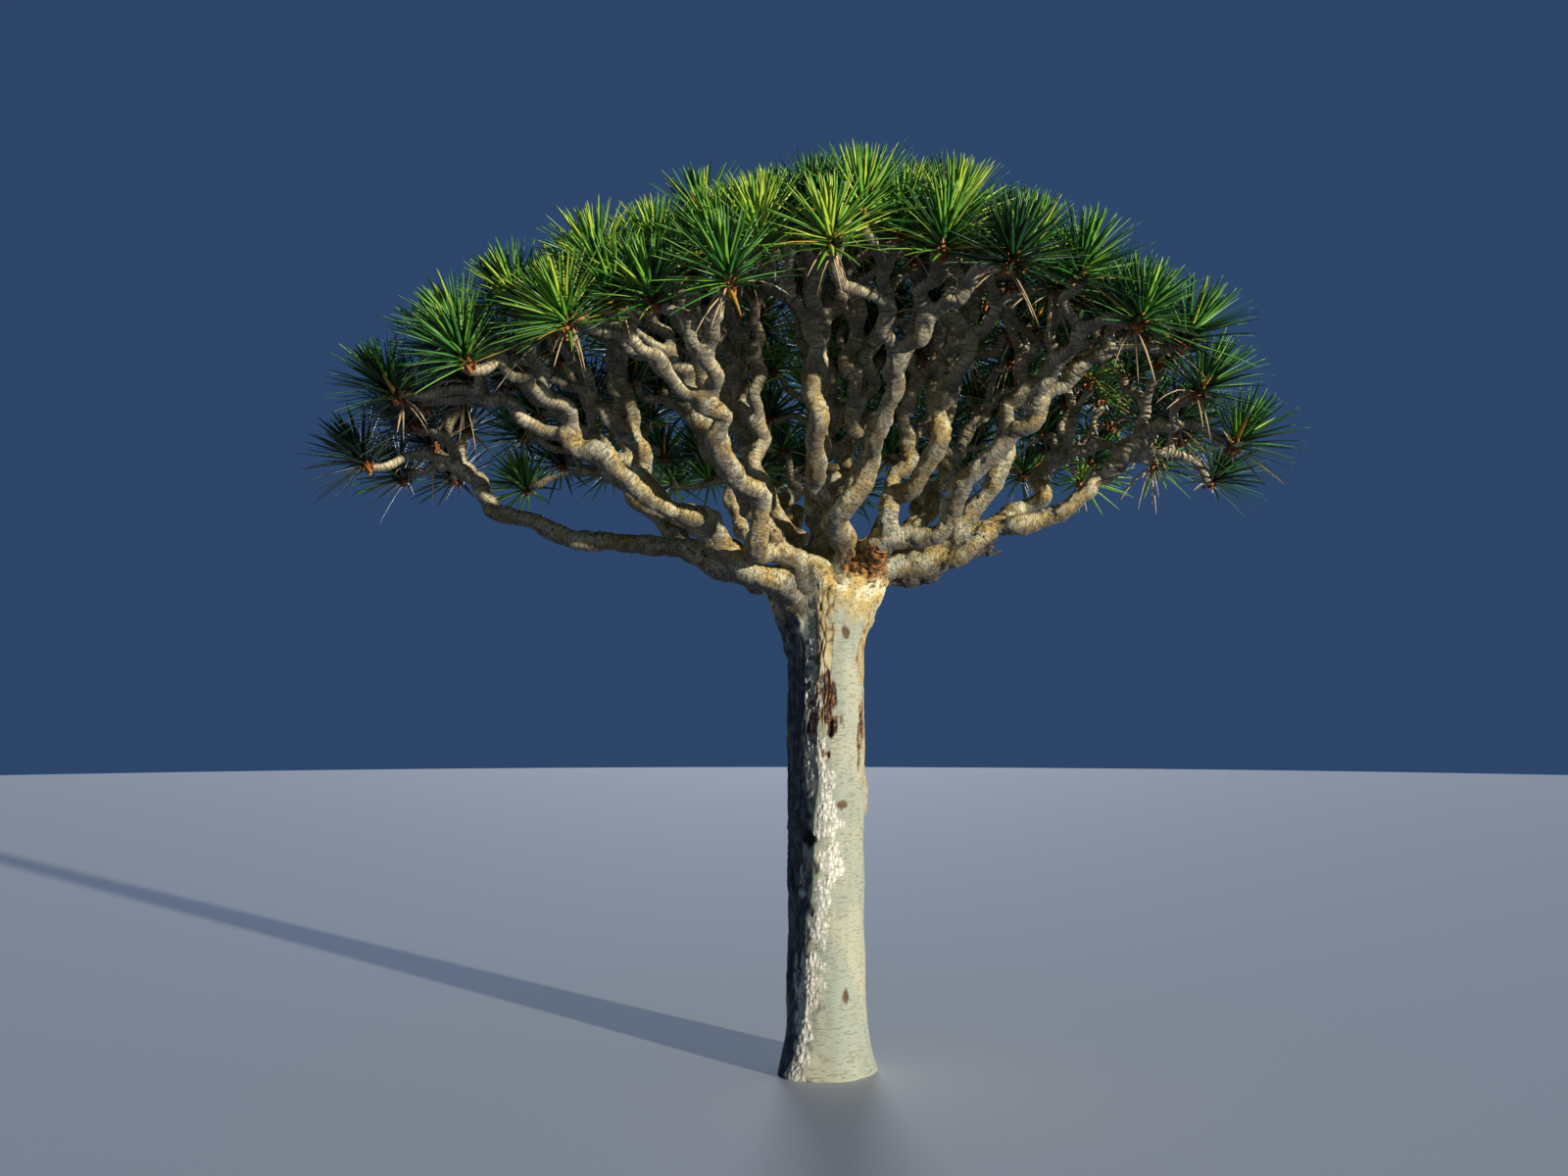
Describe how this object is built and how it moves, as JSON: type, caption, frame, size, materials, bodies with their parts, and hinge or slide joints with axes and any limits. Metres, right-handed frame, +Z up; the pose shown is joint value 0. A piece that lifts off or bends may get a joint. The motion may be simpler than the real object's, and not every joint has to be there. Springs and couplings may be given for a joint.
{
  "type": "dragon blood tree",
  "caption": "Whole dragon blood tree, rooted in the ground: a stout bare trunk, boughs spread like umbrella ribs and a dense domed crown of stiff sword-leaved rosettes.",
  "frame": {"origin": "middle of the flat cut under the trunk, at ground level", "axes": "+Z up the trunk, +X towards the side of the low right bough, the long left bough runs out along -X, and the picture looks along +Y"},
  "size_m": [6.2721, 5.7588, 5.7099],
  "materials": {
    "trunk_bark": "pale grey fissured bark with flaking lichen, matt",
    "bough_bark": "tan to grey bark with rings of old leaf scars, matt",
    "dead_wood": "dark weathered dead wood, matt",
    "foliage": "stiff sword leaves, green to yellow-green, slightly waxy"
  },
  "bodies": {
    "root": {"bough_heart_1": "bough_bark", "bough_inner_1": "bough_bark", "bough_inner_2": "bough_bark", "bough_inner_3": "bough_bark", "bough_inner_4": "bough_bark", "bough_inner_5": "bough_bark", "bough_middle_1": "bough_bark", "bough_middle_2": "bough_bark", "bough_middle_3": "bough_bark", "bough_middle_4": "bough_bark", "bough_middle_5": "bough_bark", "bough_middle_6": "bough_bark", "bough_middle_7": "bough_bark", "bough_middle_8": "bough_bark", "bough_middle_9": "bough_bark", "bough_rim_1": "bough_bark", "bough_rim_10": "bough_bark", "bough_rim_2": "bough_bark", "bough_rim_3": "bough_bark", "bough_rim_4": "bough_bark", "bough_rim_5": "bough_bark", "bough_rim_6": "bough_bark", "bough_rim_7": "bough_bark", "bough_rim_8": "bough_bark", "bough_rim_9": "bough_bark", "dead_stub": "dead_wood", "foliage_heart_1": "foliage", "foliage_inner_1": "foliage", "foliage_inner_2": "foliage", "foliage_inner_3": "foliage", "foliage_inner_4": "foliage", "foliage_inner_5": "foliage", "foliage_middle_1": "foliage", "foliage_middle_2": "foliage", "foliage_middle_3": "foliage", "foliage_middle_4": "foliage", "foliage_middle_5": "foliage", "foliage_middle_6": "foliage", "foliage_middle_7": "foliage", "foliage_middle_8": "foliage", "foliage_middle_9": "foliage", "foliage_rim_1": "foliage", "foliage_rim_10": "foliage", "foliage_rim_2": "foliage", "foliage_rim_3": "foliage", "foliage_rim_4": "foliage", "foliage_rim_5": "foliage", "foliage_rim_6": "foliage", "foliage_rim_7": "foliage", "foliage_rim_8": "foliage", "foliage_rim_9": "foliage", "trunk": "trunk_bark"}
  },
  "joints": []
}
